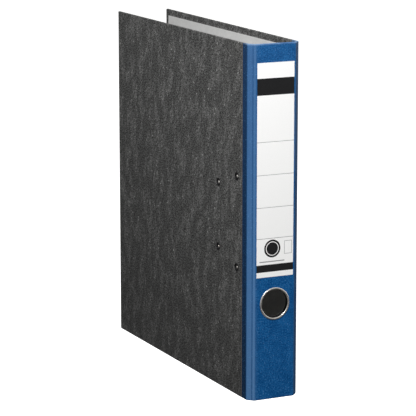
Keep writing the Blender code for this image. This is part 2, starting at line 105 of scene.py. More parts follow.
# The wall of the case unrolled: s runs from the back fore-edge, round the spine, to the front one.
CORNERS = [
    Vector((BACK_OUTER.x, FORE_EDGE)),
    BACK_OUTER,
    BACK_INNER,
    FRONT_INNER,
    FRONT_OUTER,
    FRONT_OUTER + COVER * Vector((math.sin(SPLAY), math.cos(SPLAY))),
]
LENGTHS = [(b - a).length for a, b in zip(CORNERS, CORNERS[1:])]
MIDDLE = LENGTHS[0] + LENGTHS[1] + LENGTHS[2] / 2
STARTS = [sum(LENGTHS[:i]) - MIDDLE for i in range(len(CORNERS))]
ALONG = [(b - a).normalized() for a, b in zip(CORNERS, CORNERS[1:])]
INWARD = [Vector((-t.y, t.x)) for t in ALONG]
BACK_COVER, BACK_BEVEL, SPINE, FRONT_BEVEL, FRONT_COVER = range(5)
CREASES = range(BACK_BEVEL, FRONT_COVER + 1)
SPINE_EDGE = STARTS[FRONT_BEVEL]
BEVEL_EDGE = STARTS[FRONT_COVER]

# Layers by depth from the outer face.
MARBLED_FACE = 0.0
BLUE_FACE = 0.1
BOARD_INNER = 2.38
LINING_LAYER = (2.36, 2.6)
WALL = 2.6
TURN_IN_DEPTH = 1.2

# Reach of the papers, and rounding of the sheets' edges.
BLUE_REACH = 9.0
LINING_MARGIN = 6.0
EDGE_ROUNDING = 0.6
LINING_ROUNDING = 0.08

# Folds.
FOLD_RADIUS = 1.2
FOLD_SPREAD = 0.8
FOLD_STEPS = 16
END_STEPS = 4
HINGE_REACH = 4.0
SCORE_SHARE = 0.66
SCORE_DEPTH = 0.3
SCORE_WIDTH = 0.5
SCORE_LINE = BEVEL_EDGE - SCORE_SHARE * LENGTHS[BACK_BEVEL]


# Materials -----------------------------------------------------------------------------------


def tone(red, green, blue):
    """Linear colour of an 8-bit sRGB tone."""
    values = []
    for level in (red, green, blue):
        share = level / 255
        values.append(share / 12.92 if share <= 0.04045 else ((share + 0.055) / 1.055) ** 2.4)
    return (*values, 1.0)


def veil(colour, share):
    """A colour that covers what lies under it by a share."""
    return (*colour[:3], share)


PAPER_GLOSS = 0.06


class Surface:
    """A material and short ways to wire its nodes."""

    def __init__(self, name, roughness, metallic=0.0):
        self.material = bpy.data.materials.new(name)
        self.material.use_nodes = True
        self.tree = self.material.node_tree
        self.shader = self.tree.nodes["Principled BSDF"]
        self.shader.inputs["Roughness"].default_value = roughness
        self.shader.inputs["Metallic"].default_value = metallic

    def add(self, kind, inputs, **settings):
        made = self.tree.nodes.new("ShaderNode" + kind)
        for key, value in settings.items():
            setattr(made, key, value)
        for key, value in inputs.items():
            if isinstance(value, bpy.types.NodeSocket):
                self.tree.links.new(value, made.inputs[key])
            else:
                made.inputs[key].default_value = value
        return made

    def put(self, socket, value):
        """Feed an input of the shader."""
        if isinstance(value, bpy.types.NodeSocket):
            self.tree.links.new(value, self.shader.inputs[socket])
        else:
            self.shader.inputs[socket].default_value = value

    def unrolled(self):
        """Place on the unrolled sheet, in metres."""
        return self.add("UVMap", {}, uv_map="paper").outputs["UV"]

    def local(self):
        """Place in the piece's own space, in metres."""
        return self.add("TexCoord", {}).outputs["Object"]

    def split(self, vector):
        made = self.add("SeparateXYZ", {"Vector": vector})
        return made.outputs["X"], made.outputs["Y"]

    def stretched(self, vector, length, turn=0.0):
        """Draw a pattern out to a number of times its length, in a direction in degrees."""
        rotation = (0.0, 0.0, math.radians(turn))
        inputs = {"Vector": vector, "Scale": (length, 1.0, 1.0), "Rotation": rotation}
        return self.add("Mapping", inputs, vector_type="TEXTURE").outputs["Vector"]

    def noise(self, vector, size, detail=2.0, roughness=0.5, distortion=0.0):
        """Even noise whose patches measure about size millimetres."""
        inputs = {
            "Vector": vector,
            "Scale": 1 / (size * MM),
            "Detail": detail,
            "Roughness": roughness,
            "Distortion": distortion,
        }
        return self.add("TexNoise", inputs).outputs["Fac"]

    def math(self, operation, first, second=0.0):
        return self.add("Math", {0: first, 1: second}, operation=operation).outputs[0]

    def weighted(self, first, share, second):
        """Mean of two values, with the first one's share."""
        rest = self.math("MULTIPLY", second, 1 - share)
        return self.math("ADD", self.math("MULTIPLY", first, share), rest)

    def rise(self, value, low, high, bottom=0.0, top=1.0, step="SMOOTHSTEP"):
        """Step of a value from bottom to top, while it rises from low to high."""
        inputs = {"Value": value, "From Min": low, "From Max": high, "To Min": bottom, "To Max": top}
        return self.add("MapRange", inputs, interpolation_type=step).outputs["Result"]

    def mix(self, share, first, second, blend="MIX"):
        inputs = {0: share, 6: first, 7: second}
        return self.add("Mix", inputs, data_type="RGBA", blend_type=blend).outputs[2]

    def ramp(self, value, stops):
        """Colour by value; stops are (position, colour) pairs in order."""
        made = self.add("ValToRGB", {"Fac": value})
        points = made.color_ramp.elements
        while len(points) < len(stops):
            points.new(0.5)
        for point, (position, colour) in zip(points, stops):
            point.position = position
            point.color = colour
        return made.outputs["Color"]

    def bump(self, height, strength, distance):
        inputs = {"Height": height, "Strength": strength, "Distance": distance * MM}
        self.put("Normal", self.add("Bump", inputs).outputs["Normal"])


def linen_grain(made, sheet):
    """Fine wavy creases that run across the sheet, as a value round a half."""
    rising = made.noise(made.stretched(sheet, 2.6, turn=18.0), 1.0, roughness=0.7)
    falling = made.noise(made.stretched(sheet, 2.6, turn=-22.0), 0.95, roughness=0.7)
    return made.weighted(rising, 0.5, falling)


# Painted shade: the covers darken towards the foot, where the light falls off: how far at most,
# between which heights in metres, and how much the heights rise for each metre away from the spine.
FOOT_SHADE_MOST = 0.42
FOOT_SHADE_FROM = 0.24
FOOT_SHADE_TO = -0.11
FOOT_SHADE_SLOPE = 0.3


def marbled_paper():
    """Dark cover paper with soft pale clouds, pale flecks, a linen-like grain and painted shade towards
    the foot.
    """
    made = Surface("marbled_paper", 0.62)
    sheet = made.unrolled()
    along, up = made.split(sheet)
    grain = linen_grain(made, sheet)
    clouds = made.noise(made.stretched(sheet, 2.2, turn=84.0), 11.0, 3.0, 0.6, distortion=0.4)
    wisps = made.noise(made.stretched(sheet, 1.3, turn=75.0), 3.0, 3.0, 0.65, distortion=0.3)
    specks = made.noise(made.stretched(sheet, 1.5, turn=60.0), 1.6, detail=1.0)
    ground = made.mix(made.rise(grain, 0.38, 0.64), tone(18, 18, 18), tone(112, 112, 111))
    cloud = made.math("MULTIPLY", made.rise(clouds, 0.42, 0.64, 0.0, 0.8), made.rise(wisps, 0.36, 0.62))
    cloud = made.math("MULTIPLY", cloud, made.rise(grain, 0.38, 0.6, 0.3, 1.0))
    paper = made.mix(cloud, ground, tone(136, 136, 135))
    fleck = made.math("MULTIPLY", made.rise(specks, 0.66, 0.73), made.rise(clouds, 0.44, 0.56))
    paper = made.mix(fleck, paper, tone(196, 196, 194))
    # Painted shade: darker towards the foot and further away from the spine.
    away = made.math("MULTIPLY", made.math("ABSOLUTE", along), FOOT_SHADE_SLOPE)
    dark = made.rise(made.math("SUBTRACT", up, away), FOOT_SHADE_TO, FOOT_SHADE_FROM, FOOT_SHADE_MOST, 0.0)
    paper = made.mix(dark, paper, tone(28, 28, 28))
    seam = (BEVEL_EDGE + BLUE_REACH) * MM
    cut_edge = made.rise(made.math("ABSOLUTE", along), seam + 0.1 * MM, seam + 1.1 * MM, 0.8, 0.0)
    made.put("Base Color", made.mix(cut_edge, paper, tone(108, 99, 93)))
    made.put("Roughness", made.rise(grain, 0.3, 0.7, 0.5, 0.74))
    made.put("Specular IOR Level", PAPER_GLOSS)
    made.bump(made.math("ADD", grain, made.math("MULTIPLY", wisps, 0.3)), 0.4, 0.25)
    return made.material


# Painted light on the blue paper at the foot and at the head of the case: painted shade in the joint
# beside a cover, painted sheen on the back bevel, and a painted highlight along the crease between the
# back bevel and the spine.
PAINTED_LIGHT_AT_FOOT = (tone(0, 28, 54), tone(79, 117, 159), tone(83, 122, 165))
PAINTED_LIGHT_AT_HEAD = (tone(0, 41, 78), tone(59, 95, 137), tone(64, 101, 143))


def painted_light_stops(shade, painted_sheen, bright):
    """(s, colour) of painted shade and highlights on the blue paper, from cover to cover; alpha is how
    much it shows.
    """
    # Painted shade in the joint beside each cover.
    shade = veil(shade, 0.92)
    shade_end = veil(tone(12, 58, 102), 0.85)
    # Painted sheen on the back bevel, with painted shade in its scored groove.
    painted_sheen = veil(painted_sheen, 0.78)
    scored = veil(tone(38, 76, 120), 0.8)
    # Painted highlight along the crease between the back bevel and the spine.
    faint = veil(bright, 0.22)
    bright = veil(bright, 0.85)
    plain = veil(tone(50, 100, 150), 0.0)
    # Painted shade on the front bevel, and a faint painted highlight along its crease with the spine.
    far = veil(tone(40, 72, 108), 0.75)
    ridge_highlight = veil(tone(50, 94, 140), 0.35)
    return [
        (-BEVEL_EDGE - BLUE_REACH, shade),
        (-BEVEL_EDGE - 2.2, shade),
        (-BEVEL_EDGE - 0.5, shade_end),
        (-BEVEL_EDGE + 0.3, painted_sheen),
        (-SCORE_LINE - 0.75, painted_sheen),
        (-SCORE_LINE, scored),
        (-SCORE_LINE + 0.75, painted_sheen),
        (-SPINE_EDGE - 1.0, bright),
        (-SPINE_EDGE - 0.4, bright),
        (-SPINE_EDGE + 0.9, faint),
        (-SPINE_EDGE + 4.5, plain),
        (SPINE_EDGE - 0.9, plain),
        (SPINE_EDGE, ridge_highlight),
        (SPINE_EDGE + 0.9, far),
        (BEVEL_EDGE - 0.4, far),
        (BEVEL_EDGE + 0.5, shade),
    ]


def blue_paper():
    """Blue spine paper: speckled dye, with painted sheen, shade and highlights on the bevels and joints.
    """
    made = Surface("blue_paper", 0.5)
    sheet = made.unrolled()
    along, up = made.split(sheet)
    grain = made.noise(sheet, 1.3, roughness=0.7)
    clouds = made.noise(sheet, 12.0, 3.0, 0.6, distortion=0.3)
    specks = made.noise(sheet, 1.25, detail=1.0)
    level = made.weighted(grain, 0.7, clouds)
    paper = made.mix(made.rise(level, 0.34, 0.66), tone(4, 64, 118), tone(32, 99, 158))
    reach = BEVEL_EDGE + BLUE_REACH
    share = made.rise(along, -reach * MM, reach * MM, step="LINEAR")
    # Painted shade, sheen and highlights by place across the wall; at the foot the shade is darker and
    # the sheen lighter.
    painted_ramps = []
    for tones in (PAINTED_LIGHT_AT_FOOT, PAINTED_LIGHT_AT_HEAD):
        stops = [((s + reach) / (2 * reach), colour) for s, colour in painted_light_stops(*tones)]
        painted_ramps.append(made.ramp(share, stops))
    painted_light = made.mix(made.rise(up, 0.0, HEIGHT * MM), *painted_ramps)
    paper = made.mix(painted_ramps[0].node.outputs["Alpha"], paper, painted_light)
    # Painted light: the paper turns a little paler towards the head.
    painted_top_light = made.rise(up, 0.1, HEIGHT * MM, 0.0, 0.03)
    paper = made.mix(painted_top_light, paper, tone(128, 138, 150))
    speck = made.math("MULTIPLY", made.rise(specks, 0.58, 0.76), made.rise(clouds, 0.36, 0.6, 0.3, 0.62))
    paper = made.mix(speck, paper, tone(88, 138, 188))
    # Paler mottled band along the top edge: rubbed paper, and a painted highlight where the edge catches
    # the light.
    top = made.rise(up, (HEIGHT - 1.6) * MM, (HEIGHT - 0.4) * MM)
    edge_wear_and_highlight = made.math("MULTIPLY", top, made.rise(clouds, 0.4, 0.62, 0.08, 0.4))
    paper = made.mix(edge_wear_and_highlight, paper, tone(150, 176, 204))
    made.put("Base Color", paper)
    made.put("Roughness", made.rise(level, 0.3, 0.7, 0.42, 0.6))
    made.put("Specular IOR Level", PAPER_GLOSS)
    made.bump(grain, 0.3, 0.2)
    return made.material


def lining_paper():
    """Light grey lining paper with a faint fibre."""
    made = Surface("lining_paper", 0.75)
    sheet = made.unrolled()
    clouds = made.noise(sheet, 12.0, 3.0, 0.6)
    fibre = made.noise(made.stretched(sheet, 3.0, turn=70.0), 0.9, roughness=0.6)
    level = made.weighted(clouds, 0.4, fibre)
    made.put("Base Color", made.mix(made.rise(level, 0.3, 0.7), tone(202, 202, 201), tone(218, 218, 217)))
    made.put("Specular IOR Level", PAPER_GLOSS)
    made.bump(fibre, 0.2, 0.1)
    return made.material


def print_paper(name, first, second, roughness):
    """Smooth label paper, plain or printed."""
    made = Surface(name, roughness)
    fibre = made.noise(made.local(), 0.8, roughness=0.6)
    made.put("Base Color", made.mix(made.rise(fibre, 0.3, 0.7), first, second))
    made.put("Specular IOR Level", PAPER_GLOSS)
    made.bump(fibre, 0.08, 0.05)
    return made.material


def plated(name, dark, light, low, high, scratch):
    """Plated steel: cloudy roughness from low to high and fine rolling marks."""
    made = Surface(name, low, metallic=1.0)
    place = made.local()
    clouds = made.noise(place, 7.0, 3.0, 0.6)
    marks = made.noise(made.stretched(place, 6.0, turn=30.0), 0.5, 3.0, 0.7, distortion=1.0)
    level = made.weighted(clouds, 0.6, marks)
    share = made.rise(level, 0.35, 0.65)
    made.put("Base Color", made.mix(share, dark, light))
    made.put("Roughness", made.rise(level, 0.35, 0.65, low, high))
    made.bump(marks, scratch, 0.05)
    return made.material


MARBLED = marbled_paper()
BLUE = blue_paper()
LINING = lining_paper()
LABEL = print_paper("label_paper", tone(252, 252, 251), tone(255, 255, 254), 0.55)
INK = print_paper("label_ink", tone(30, 30, 31), tone(38, 38, 39), 0.45)
RULE = print_paper("label_rule", tone(150, 151, 152), tone(160, 161, 162), 0.55)
NICKEL = plated("nickel", tone(186, 183, 178), tone(214, 211, 206), 0.18, 0.34, 0.12)
SATIN = plated("satin_nickel", tone(196, 194, 190), tone(222, 220, 216), 0.38, 0.52, 0.15)
STEEL = plated("steel", tone(150, 150, 150), tone(188, 188, 188), 0.28, 0.45, 0.2)
# Dark steel that paints shade on the rivets' pockets and flanges and in the finger ring's tube.
PAINTED_SHADE_STEEL = plated("painted_shade_steel", tone(24, 24, 25), tone(36, 36, 37), 0.4, 0.55, 0.2)


# The unrolled wall ---------------------------------------------------------------------------


OUTSIDE, INSIDE = 0, 1


def fold_reach(i):
    """Half length of the fold at corner i, along the outside and the inside."""
    turn = ALONG[i - 1].angle(ALONG[i])
    return FOLD_RADIUS * math.tan(turn / 2), WALL * math.tan(turn / 2) + FOLD_SPREAD


def panel_of(s):
    """Index of the panel that holds s."""
    found = BACK_COVER
    for i in CREASES:
        if s > STARTS[i]:
            found = i
    return found


def near_fold(s, surface):
    """Index of the corner whose fold holds s on the outside or the inside, or None."""
    for i in CREASES:
        if abs(s - STARTS[i]) < fold_reach(i)[surface]:
            return i
    return None


def curved(i, s, reach, corner):
    """A point on the rounded corner that joins two panels."""
    share = (s - STARTS[i] + reach) / (2 * reach)
    first = corner - ALONG[i - 1] * (reach - offset_reach(i, corner))
    last = corner + ALONG[i] * (reach - offset_reach(i, corner))
    return first.lerp(corner, share).lerp(corner.lerp(last, share), share)


def offset_reach(i, corner):
    """How much shorter the fold is at an inner corner than at the crease."""
    return (corner - CORNERS[i]).length * math.sin(ALONG[i - 1].angle(ALONG[i]) / 2)


def face(s, depth, surface):
    """Plan point at s and a depth, on the outside or the inside of the wall."""
    i = near_fold(s, surface)
    if i is None:
        i = panel_of(s)
        return CORNERS[i] + ALONG[i] * (s - STARTS[i]) + INWARD[i] * depth
    half = ALONG[i - 1].angle(ALONG[i]) / 2
    corner = CORNERS[i] + (INWARD[i - 1] + INWARD[i]).normalized() * depth / math.cos(half)
    return curved(i, s, fold_reach(i)[surface], corner)


def score(s):
    """Depth of the scored line on each bevel."""
    gap = min(abs(abs(s) - SCORE_LINE), SCORE_WIDTH)
    return SCORE_DEPTH * (0.5 + 0.5 * math.cos(math.pi * gap / SCORE_WIDTH))


def wall_point(s, w, z):
    """A point of the case: s along the unrolled wall, w in from its face, z up."""
    outer = face(s, score(s), OUTSIDE)
    inner = face(s, WALL, INSIDE)
    return Vector((*outer.lerp(inner, w / WALL), z)) * MM


def stations(start, end):
    """Values of s between two ends, close together on folds and scored lines."""
    values = {start, end}
    for i in CREASES:
        reach = fold_reach(i)[INSIDE]
        values |= {STARTS[i] + reach * (2 * k / FOLD_STEPS - 1) for k in range(FOLD_STEPS + 1)}
    for sign in (1, -1):
        values |= {sign * SCORE_LINE + SCORE_WIDTH * k / 4 for k in range(-4, 5)}
    return sorted(value for value in values if start <= value <= end)


# Meshes --------------------------------------------------------------------------------------

SMALLEST_ROUNDING = 0.02
SAME_POINT = 0.0005
NO_LENGTH = 0.0002

# How far a paper's pattern slides for each millimetre of depth, so that an edge shows it too.
PATTERN_SLIDE = 0.7

# Cutters reach from inside the case (low) to outside it (high).
CUTTER_REACH = (-4.0, 1.0)


def add_object(name, data):
    """A new object in the scene."""
    made = bpy.data.objects.new(name, data)
    bpy.context.scene.collection.objects.link(made)
    return made


def placed_mesh(bm, name, placing):
    """The mesh of a bmesh in millimetres, moved to its place and made metres."""
    mesh = bpy.data.meshes.new(name)
    bm.to_mesh(mesh)
    bm.free()
    mesh.transform(Matrix.Scale(MM, 4) @ placing)
    return mesh


def pattern_place(s, w, z, layer):
    """Place of a point on its sheet's pattern, in metres."""
    slide = PATTERN_SLIDE * (w - layer[0])
    return ((s + slide) * MM, (z + slide) * MM)


def rounded_loop(layer, rise, rounding, inset, steps=4):
    """Section of a sheet as (w, z) points: outer face upwards, inner face downwards."""
    corners = (
        (layer[0], rise[0], 1, 1, 270),
        (layer[0], rise[1], 1, -1, 180),
        (layer[1], rise[1], -1, -1, 90),
        (layer[1], rise[0], -1, 1, 0),
    )
    small = max(rounding - inset, SMALLEST_ROUNDING)
    points = []
    for w, z, across, up, first in corners:
        centre = (w + across * (inset + small), z + up * (inset + small))
        for k in range(steps + 1):
            angle = math.radians(first - 90 * k / steps)
            points.append((centre[0] + small * math.cos(angle), centre[1] + small * math.sin(angle)))
    return points


def sheet_mesh(name, span, layer, rise, rounding, round_start=False, round_end=False):
    """A closed sheet of the wall with rounded long edges, and rounded ends where asked."""
    start = span[0] + (rounding if round_start else 0.0)
    end = span[1] - (rounding if round_end else 0.0)
    turns = [math.radians(90 * k / END_STEPS) for k in range(1, END_STEPS + 1)]
    nose = [(rounding * math.sin(turn), rounding * (1 - math.cos(turn))) for turn in turns]
    sections = [(s, 0.0) for s in stations(start, end)]
    if round_start:
        sections = [(start - reach, inset) for reach, inset in nose[::-1]] + sections
    if round_end:
        sections += [(end + reach, inset) for reach, inset in nose]
    bm = bmesh.new()
    layer_uv = bm.loops.layers.uv.new("paper")
    rings = []
    places = {}
    for s, inset in sections:
        ring = []
        for w, z in rounded_loop(layer, rise, rounding, inset):
            vertex = bm.verts.new(wall_point(s, w, z))
            places[vertex] = (s, w, z)
            ring.append(vertex)
        rings.append(ring)
    faces = []
    for first, second in zip(rings, rings[1:]):
        for k in range(len(first)):
            n = (k + 1) % len(first)
            faces.append(bm.faces.new((first[k], first[n], second[n], second[k])))
    faces.append(bm.faces.new(rings[0][::-1]))
    faces.append(bm.faces.new(rings[-1]))
    bmesh.ops.recalc_face_normals(bm, faces=bm.faces)
    for one in bm.faces:
        for loop in one.loops:
            loop[layer_uv].uv = pattern_place(*places[loop.vert], layer)
        s, w, z = sum((Vector(places[vertex]) for vertex in one.verts), Vector()) / len(one.verts)
        one.material_index = 1 if w > TURN_IN_DEPTH and abs(s) > BEVEL_EDGE else 0
    mesh = bpy.data.meshes.new(name)
    bm.to_mesh(mesh)
    bm.free()
    return mesh


def finish_piece(name, mesh, *materials, angle=35.0):
    """Make an object of a mesh, shaded smooth between sharp edges."""
    mesh.materials.clear()
    for material in materials:
        mesh.materials.append(material)
    if len(materials) == 1:
        for one in mesh.polygons:
            one.material_index = 0
    mesh.shade_smooth()
    mesh.set_sharp_from_angle(angle=math.radians(angle))
    made = add_object(name, mesh)
    even = made.modifiers.new("even shading", "WEIGHTED_NORMAL")
    even.keep_sharp = True
    return made


def turned_mesh(profile, placing, steps=96, closed=True):
    """A lathe mesh about Z: profile as (radius, level) points."""
    bm = bmesh.new()
    rings = []
    for i in range(steps):
        angle = 2 * math.pi * i / steps
        rings.append([bm.verts.new((r * math.cos(angle), r * math.sin(angle), h)) for r, h in profile])
    count = len(profile)
    for i in range(steps):
        first = rings[i]
        second = rings[(i + 1) % steps]
        for k in range(count if closed else count - 1):
            n = (k + 1) % count
            bm.faces.new((first[k], second[k], second[n], first[n]))
    bmesh.ops.remove_doubles(bm, verts=bm.verts, dist=SAME_POINT)
    bmesh.ops.dissolve_degenerate(bm, edges=bm.edges, dist=NO_LENGTH)
    bmesh.ops.recalc_face_normals(bm, faces=bm.faces)
    return placed_mesh(bm, "turned", placing)


def cutter_mesh(outline, placing):
    """A prism along Z of a closed outline, through the whole wall."""
    low, high = CUTTER_REACH
    bm = bmesh.new()
    bottom = [bm.verts.new((x, y, low)) for x, y in outline]
    top = [bm.verts.new((x, y, high)) for x, y in outline]
    bm.faces.new(bottom[::-1])
    bm.faces.new(top)
    for k in range(len(outline)):
        n = (k + 1) % len(outline)
        bm.faces.new((bottom[k], bottom[n], top[n], top[k]))
    bmesh.ops.recalc_face_normals(bm, faces=bm.faces)
    return placed_mesh(bm, "cutter", placing)


def panel_placing(i, s, z):
    """Frame on a panel's face at s and z: X along the wall, Y up, Z out of the case."""
    here = CORNERS[i] + ALONG[i] * (s - STARTS[i])
    columns = (Vector((*ALONG[i], 0)), Vector((0, 0, 1)), -Vector((*INWARD[i], 0)))
    placing = Matrix.Identity(4)
    for k, column in enumerate(columns):
        placing.col[k] = (*column, 0.0)
    placing.col[3] = (*here, z, 1.0)
    return placing


def unrolled_place(i, place):
    """(s, w, z) of a point on panel i."""
    offset = place.xy - CORNERS[i]
    return STARTS[i] + offset.dot(ALONG[i]), offset.dot(INWARD[i]), place.z


def cut(mesh, cutters, i, layer):
    """Cut shapes out of a flat sheet on panel i and lay its pattern out again."""
    body = add_object("cut", mesh)
    helpers = []
    for cutter in cutters:
        helper = add_object("cutter", cutter)
        step = body.modifiers.new("cut", "BOOLEAN")
        step.operation = "DIFFERENCE"
        step.solver = "EXACT"
        step.object = helper
        helpers.append(helper)
    depsgraph = bpy.context.evaluated_depsgraph_get()
    made = bpy.data.meshes.new_from_object(body.evaluated_get(depsgraph))
    for helper in [body, *helpers]:
        bpy.data.objects.remove(helper, do_unlink=True)
    pattern = made.uv_layers["paper"]
    for loop in made.loops:
        place = made.vertices[loop.vertex_index].co / MM
        pattern.data[loop.index].uv = pattern_place(*unrolled_place(i, place), layer)
    return made


def circle(radius, count=64):
    """Outline of a circle round the origin."""
    turns = (2 * math.pi * i / count for i in range(count))
    return [(radius * math.cos(angle), radius * math.sin(angle)) for angle in turns]


def slot_outline(half, radius, steps=16):
    """Outline of a slot with round ends that runs along X."""
    points = []
    for sign, first in ((1, -90), (-1, 90)):
        for k in range(steps + 1):
            angle = math.radians(first + 180 * k / steps)
            points.append((sign * half + radius * math.cos(angle), radius * math.sin(angle)))
    return points


# Openings of the case ------------------------------------------------------------------------

RING_Z = box_centre("finger_ring").z
RING_HOLE = 13.3

# Slots of the front cover; their distance is from the outer crease.
SLOT_DISTANCE = 44.5
SLOT_HALF = 13.3
SLOT_RADIUS = 3.78
SLOTS = ("slot_liner_upper", "slot_liner_lower")

# Pockets of the back cover that hold the rivet heads.
RIVETS = ("rivet_upper_near", "rivet_lower_near", "rivet_upper_far", "rivet_lower_far")
RIVET_HOLE = 2.2
POCKET_RADIUS = 3.95
POCKET_DEPTH = 0.6
POCKET_MARGIN = 0.02
POCKET = [
    (0.0, 1.0),
    (3.9, 1.0),
    (3.9, 0.001),
    (3.65, -0.05),
    (3.45, -0.18),
    (3.3, -0.38),
    (3.25, -POCKET_DEPTH),
    (0.0, -POCKET_DEPTH),
]


def rivet_places():
    """(s, z) of each rivet on the back cover."""
    centres = [box_centre(name) for name in RIVETS]
    return [(STARTS[BACK_BEVEL] - (centre.y - BACK_OUTER.y), centre.z) for centre in centres]


def ring_cutter():
    """Cutter of the finger hole."""
    return cutter_mesh(circle(RING_HOLE, 96), panel_placing(SPINE, 0.0, RING_Z))


def slot_cutters():
    """Cutters of the front cover's slots."""
    outline = slot_outline(SLOT_HALF, SLOT_RADIUS)
    s = BEVEL_EDGE + SLOT_DISTANCE
    placings = [panel_placing(FRONT_COVER, s, box_centre(name).z) for name in SLOTS]
    return [cutter_mesh(outline, placing) for placing in placings]


def pocket_cutters():
    """Cutters of the rivets' pockets in the back cover's board."""
    placings = [panel_placing(BACK_COVER, *place) for place in rivet_places()]
    return [turned_mesh(POCKET, placing, 64, closed=False) for placing in placings]


def rivet_cutters():
    """Cutters of the rivets' holes in the back cover's lining."""
    placings = [panel_placing(BACK_COVER, *place) for place in rivet_places()]
    return [cutter_mesh(circle(RIVET_HOLE, 32), placing) for placing in placings]


def in_pocket(place, rivets):
    """Whether a place on the back cover is on the wall or the floor of a rivet's pocket."""
    s, w, z = unrolled_place(BACK_COVER, place)
    if not POCKET_MARGIN < w < POCKET_DEPTH + POCKET_MARGIN:
        return False
    return any(math.hypot(s - rivet_s, z - rivet_z) < POCKET_RADIUS for rivet_s, rivet_z in rivets)


# Case ----------------------------------------------------------------------------------------

RISE = (0.0, HEIGHT)
LINING_RISE = (LINING_MARGIN, HEIGHT - LINING_MARGIN)
MID_BEVEL = (SPINE_EDGE + BEVEL_EDGE) / 2
SEAM = BEVEL_EDGE + BLUE_REACH
LINING_SEAM = BEVEL_EDGE + HINGE_REACH
SPINE_REACH = SPINE_EDGE - HINGE_REACH

# Each side of the case: its cover's panel, its direction along s, and its outer and inner crease.
SIDES = {"back": (BACK_COVER, -1, 1, 2), "front": (FRONT_COVER, 1, 4, 3)}


def spread(side, *distances):
    """Span between two distances from the spine's middle, on one side of the case."""
    return sorted(SIDES[side][1] * distance for distance in distances)


def blend_at(piece, i, first, second):
    """Bake a piece's placement into its mesh; the corner i and the bodies first and second are not used.
    """
    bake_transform(piece)


def bend_outside(piece, side):
    """Bake the placement of a strip that lies across the crease between a cover and its bevel."""
    _, sign, crease, _ = SIDES[side]
    bodies = (side + "_cover", side + "_bevel")
    blend_at(piece, crease, *(bodies if sign < 0 else bodies[::-1]))


def bend_inside(piece, side):
    """Bake the placement of a strip that lies across the crease between a bevel and the spine."""
    _, sign, _, crease = SIDES[side]
    bodies = (side + "_bevel", "spine")
    blend_at(piece, crease, *(bodies if sign < 0 else bodies[::-1]))


def build_cover_case(side):
    """Board and marbled paper of one cover, with its pockets or slots."""
    i, sign = SIDES[side][:2]
    layer = (MARBLED_FACE, BOARD_INNER)
    span = spread(side, SEAM, BEVEL_EDGE + COVER)
    mesh = sheet_mesh(side, span, layer, RISE, EDGE_ROUNDING, sign < 0, sign > 0)
    cutters = pocket_cutters() if side == "back" else slot_cutters()
    mesh = cut(mesh, cutters, i, layer)
    made = finish_piece(side + "_cover_case", mesh, MARBLED, PAINTED_SHADE_STEEL)
    # Painted shade: the walls and floors of the rivets' pockets take the dark steel.
    rivets = rivet_places() if side == "back" else []
    for one in mesh.polygons:
        one.material_index = 1 if in_pocket(one.center / MM, rivets) else 0
    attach(made, side + "_cover")
    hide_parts(side + "_board", side + "_cover_paper")


def build_hinges(side):
    """Blue paper and board of one bevel, in two strips, one across each crease."""
    layer = (BLUE_FACE, BOARD_INNER)
    mesh = sheet_mesh("joint", spread(side, SEAM, MID_BEVEL), layer, RISE, EDGE_ROUNDING)
    made = finish_piece(side + "_outer_joint", mesh, BLUE, MARBLED)
    bend_outside(made, side)
    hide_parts(side + "_spine_paper")
    mesh = sheet_mesh("joint", spread(side, MID_BEVEL, SPINE_REACH), layer, RISE, EDGE_ROUNDING)
    made = finish_piece(side + "_inner_joint", mesh, BLUE)
    bend_inside(made, side)
    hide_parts(side + "_bevel_board", side + "_bevel_paper")


def build_spine_case():
    """Board and blue paper of the spine, with the hole of the finger ring."""
    layer = (BLUE_FACE, BOARD_INNER)
    mesh = sheet_mesh("spine", (-SPINE_REACH, SPINE_REACH), layer, RISE, EDGE_ROUNDING)
    made = finish_piece("spine_case", cut(mesh, [ring_cutter()], SPINE, layer), BLUE)
    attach(made, "spine")
    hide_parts("spine_board", "spine_paper")


def lining_mesh(span):
    """A thin sheet of lining paper."""
    return sheet_mesh("lining", span, LINING_LAYER, LINING_RISE, LINING_ROUNDING)


def build_side_linings(side):
    """Light grey lining of one cover and its bevel; the bevel's lining is in two strips, one across each
    crease.
    """
    i = SIDES[side][0]
    mesh = lining_mesh(spread(side, LINING_SEAM, BEVEL_EDGE + COVER - LINING_MARGIN))
    cutters = rivet_cutters() if side == "back" else slot_cutters()
    made = finish_piece(side + "_cover_lining", cut(mesh, cutters, i, LINING_LAYER), LINING)
    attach(made, side + "_cover")
    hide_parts(side + "_lining")
    mesh = lining_mesh(spread(side, LINING_SEAM, MID_BEVEL))
    made = finish_piece(side + "_outer_joint_lining", mesh, LINING)
    bend_outside(made, side)
    mesh = lining_mesh(spread(side, MID_BEVEL, SPINE_REACH))
    made = finish_piece(side + "_inner_joint_lining", mesh, LINING)
    bend_inside(made, side)
    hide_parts(side + "_bevel_lining")


def build_spine_lining():
    """Light grey lining of the spine, with the hole of the finger ring."""
    mesh = lining_mesh((-SPINE_REACH, SPINE_REACH))
    made = finish_piece("spine_inner_lining", cut(mesh, [ring_cutter()], SPINE, LINING_LAYER), LINING)
    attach(made, "spine")
    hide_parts("spine_lining")


# Label ---------------------------------------------------------------------------------------

# Places on the label are (x from the spine's middle, z) or a height z.
LABEL_LOW, LABEL_HIGH = box("spine_label")
LABEL_HALF = (LABEL_HIGH.x - LABEL_LOW.x) / 2
LABEL_FACE = -0.1
LABEL_THICK = 0.2
BARS = ((273.1, 287.9), (116.2, 122.8))
RULES = (232.1, 202.9, 174.0, 146.3)
RULE_THICK = 0.45
DISC = (-2.6, 137.0)
DISC_RADII = (8.0, 6.3, 5.7)
BOX_MARK = ((9.2, 131.2), (16.6, 143.0))
BOX_THICK = 0.4
CAPTION = ((-15.2, 125.0), (9.5, 126.0))
JOINED_WITHIN = 0.0001


